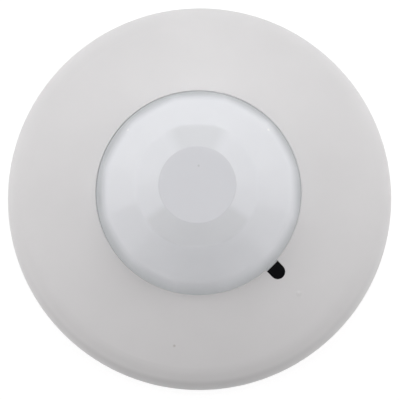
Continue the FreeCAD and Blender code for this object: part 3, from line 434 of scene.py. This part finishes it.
# Mesh columns, in degrees: even step, creases' step, half width of a crease, half width of a cut edge.
COLUMN_STEP = 3
CREASE_STEP = 15
CREASE = 2.6
CUT_EDGE = 0.05

# The lens sits a little off the middle of its opening, so the gap round it is wider on one side.
LENS_OFFSET = Vector((0.05 * MM, 0.03 * MM, 0.0))
SHARP_ANGLE = math.radians(50.0)


def rounded(corners):
    """Open profile through corners (r, z, fillet), each filleted corner as an arc."""
    points = []
    for i, (r, z, fillet) in enumerate(corners):
        here = Vector((r, z))
        if not fillet:
            points.append(here)
            continue
        back = (Vector(corners[i - 1][:2]) - here).normalized()
        ahead = (Vector(corners[i + 1][:2]) - here).normalized()
        half = back.angle(ahead) / 2
        centre = here + (back + ahead).normalized() * (fillet / math.sin(half))
        start = here + back * (fillet / math.tan(half)) - centre
        end = here + ahead * (fillet / math.tan(half)) - centre
        turn = start.angle_signed(end)
        for k in range(FILLET_STEPS + 1):
            points.append(centre + Matrix.Rotation(-turn * k / FILLET_STEPS, 2) @ start)
    return points


def facet_radius(apothem, theta):
    """Radius, at an azimuth in degrees, of a polygon with bowed sides, one side's middle at azimuth 0."""
    step = 360.0 / FACETS
    off = (theta + step / 2) % step - step / 2
    return apothem * (1 + FACETING * (1 / math.cos(math.radians(off)) - 1))


def lens_columns():
    """Azimuths of the lens mesh: even steps, and close pairs beside each crease and the notch's edges."""
    azimuths = set(range(0, 360, COLUMN_STEP))
    for crease in range(0, 360, CREASE_STEP):
        azimuths.update(((crease - CREASE) % 360, (crease + CREASE) % 360))
    for edge in (NOTCH_EDGE, LEDGE_EDGE):
        for side in (-edge, edge):
            azimuths.update(((NOTCH_AZ + side - CUT_EDGE) % 360, (NOTCH_AZ + side + CUT_EDGE) % 360))
    return sorted(azimuths)


def flange_at(theta):
    """Radius and top of the flange at an azimuth."""
    off_notch = abs((theta - NOTCH_AZ + 180.0) % 360.0 - 180.0)
    if off_notch < LEDGE_EDGE:
        return LEDGE_R, LEDGE_Z
    if off_notch < NOTCH_EDGE:
        return NOTCH_R, FLANGE_Z[1]
    return FLANGE_R, FLANGE_Z[1]


def lens_profile(theta):
    """Closed section of the lens at an azimuth: outside, flange, inside."""
    zone_1_r = facet_radius(ZONE_1[0], theta)
    zone_2_r = facet_radius(ZONE_2[0], theta)
    half_step = RIDGE_STEP / 2
    off_facet = theta % RIDGE_STEP - half_step
    ridge = RIDGE * (1 - math.cos(math.radians(off_facet))) / (1 - math.cos(math.radians(half_step)))
    zone_1_z = ZONE_1[1] + ridge
    flange, step = flange_at(theta)
    outside = [
        (0.0, LENS_TOP, 0),
        (CENTRE_R, LENS_TOP, CENTRE_FILLET[0]),
        (zone_1_r, zone_1_z, ZONE_1_FILLET[0]),
        (zone_2_r, ZONE_2[1], ZONE_2_FILLET[0]),
        (FOOT[0], FOOT[1], FOOT_FILLET),
        (FOOT[0], step, 0),
        (flange, step, 0),
        (flange, FLANGE_Z[0], 0),
    ]
    inside = [
        (FOOT[0] - SKIN, FLANGE_Z[0], 0),
        (FOOT[0] - SKIN, FOOT[1], FOOT_FILLET),
        (zone_2_r - ZONE_2_INSET[0], ZONE_2[1] - ZONE_2_INSET[1], ZONE_2_FILLET[1]),
        (zone_1_r - ZONE_1_INSET, zone_1_z - SKIN, ZONE_1_FILLET[1]),
        (CENTRE_R - CENTRE_INSET, LENS_TOP - SKIN, CENTRE_FILLET[1]),
        (0.0, LENS_TOP - SKIN, 0),
    ]
    return rounded(outside) + rounded(inside)


def build_lens():
    """Smooth faceted lens that rides on the cover and stands for the CAD lens."""
    mesh = bmesh.new()
    columns = lens_columns()
    sections = [lens_profile(theta) for theta in columns]
    last = len(sections[0]) - 1
    top = mesh.verts.new(LENS_OFFSET + Vector((0, 0, sections[0][0].y)))
    under = mesh.verts.new(LENS_OFFSET + Vector((0, 0, sections[0][last].y)))
    rings = []
    for theta, section in zip(columns, sections):
        turn = math.radians(theta)
        places = [Vector((p.x * math.cos(turn), p.x * math.sin(turn), p.y)) for p in section[1:last]]
        rings.append([top] + [mesh.verts.new(LENS_OFFSET + place) for place in places] + [under])
    for a, b in zip(rings, rings[1:] + rings[:1]):
        for i in range(last):
            corners = [a[i], a[i + 1], b[i + 1], b[i]]
            mesh.faces.new([v for k, v in enumerate(corners) if v not in corners[:k]])
    bmesh.ops.recalc_face_normals(mesh, faces=mesh.faces)
    data = bpy.data.meshes.new("lens_dome")
    mesh.to_mesh(data)
    mesh.free()
    data.materials.append(LOOKS["lens"].material)
    data.shade_smooth()
    data.set_sharp_from_angle(angle=SHARP_ANGLE)
    piece = bpy.data.objects.new("lens_dome", data)
    bpy.context.scene.collection.objects.link(piece)
    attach(piece, "cover")
    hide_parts("lens")


# ---------------------------------------------------------------- stage, lights and camera

FLOOR_ALBEDO = (0.3, 0.3, 0.3)
FLOOR_ROUGHNESS = 0.9
FLOOR_MOTTLE_SIZE = 200 * MM
FLOOR_MOTTLE = 0.02
FLOOR_GRAIN_SIZE = 3 * MM
FLOOR_GRAIN_DEPTH = 0.05 * MM
FLOOR_GRAIN_STRENGTH = 0.2
FLOOR_GLOW = 0.795
FLOOR_SIZE = 4.0
FLOOR_DROP = 0.15 * MM

WHITE = (1.0, 1.0, 1.0)
COOL = (0.98, 0.995, 1.0)
WARM = (1.0, 0.985, 0.985)
WORLD_STRENGTH = 0.06
LIGHT_TARGET = Vector((0, 0, 0.02))
LIGHT_DISTANCE = 1.2
LIGHT_SIZE = 1.0

# Name, direction from the sensor, watts, colour.
LIGHTS = (
    ("top_high", (0.0, 1.0, 1.2), 4.3, COOL),
    ("top_low", (0.0, 1.0, 0.35), 1.15, COOL),
    ("left", (-1.0, 0.1, 0.6), 5.05, WARM),
    ("right", (1.0, 0.1, 0.6), 4.8, WARM),
    ("above", (0.0, 0.0, 1.0), 4.55, WARM),
)

CAMERA_DISTANCE = 2.0
CAMERA_TILT = math.radians(6.2)
CAMERA_TURN = math.radians(9.5)
CAMERA_AIM = Vector((0.16 * MM, -0.37 * MM, 0.8 * MM))
FIELD_WIDTH = 120.45 * MM


def floor():
    """Plain pale floor just under the sensor's back."""
    look = Look("floor_white", FLOOR_ALBEDO, FLOOR_ROUGHNESS)
    look.mottle(FLOOR_MOTTLE_SIZE, FLOOR_MOTTLE)
    look.bump(FLOOR_GRAIN_SIZE, FLOOR_GRAIN_DEPTH, FLOOR_GRAIN_STRENGTH, MEDIUM)
    look.shader.inputs["Emission Color"].default_value = (*WHITE, 1.0)
    look.shader.inputs["Emission Strength"].default_value = FLOOR_GLOW
    mesh = bmesh.new()
    bmesh.ops.create_grid(mesh, x_segments=8, y_segments=8, size=FLOOR_SIZE)
    data = bpy.data.meshes.new("floor")
    mesh.to_mesh(data)
    mesh.free()
    data.materials.append(look.material)
    piece = bpy.data.objects.new("floor", data)
    piece.location.z = -FLOOR_DROP
    bpy.context.scene.collection.objects.link(piece)


def surroundings():
    """Faint even light from all round."""
    world = bpy.data.worlds.new("studio")
    world.use_nodes = True
    background = world.node_tree.nodes["Background"]
    background.inputs["Color"].default_value = (*WHITE, 1.0)
    background.inputs["Strength"].default_value = WORLD_STRENGTH
    bpy.context.scene.world = world


def softbox(name, direction, watts, colour):
    """Square area light that looks at the sensor from a direction."""
    data = bpy.data.lights.new(name, "AREA")
    data.shape = "SQUARE"
    data.size = LIGHT_SIZE
    data.energy = watts
    data.color = colour
    lamp = bpy.data.objects.new(name, data)
    back = Vector(direction).normalized()
    lamp.location = LIGHT_TARGET + back * LIGHT_DISTANCE
    lamp.rotation_mode = "QUATERNION"
    lamp.rotation_quaternion = (-back).to_track_quat("-Z", "Y")
    bpy.context.scene.collection.objects.link(lamp)


def camera():
    """Long lens a little below and right of the sensor's axis, with the sensor's top up."""
    away = Vector((math.sin(CAMERA_TILT) * math.sin(CAMERA_TURN),
                   -math.sin(CAMERA_TILT) * math.cos(CAMERA_TURN),
                   math.cos(CAMERA_TILT)))
    right = Vector((0, 1, 0)).cross(away).normalized()
    up = away.cross(right)
    data = bpy.data.cameras.new("camera")
    data.sensor_width = 36.0
    data.lens = data.sensor_width * CAMERA_DISTANCE / FIELD_WIDTH
    data.clip_start = 0.1
    data.clip_end = 50.0
    eye = bpy.data.objects.new("camera", data)
    place = Matrix((right, up, away)).transposed().to_4x4()
    place.translation = CAMERA_AIM + away * CAMERA_DISTANCE
    eye.matrix_world = place
    bpy.context.scene.collection.objects.link(eye)
    bpy.context.scene.camera = eye


dress()
build_lens()
floor()
surroundings()
for light in LIGHTS:
    softbox(*light)
camera()
bpy.context.scene.view_settings.view_transform = "Standard"
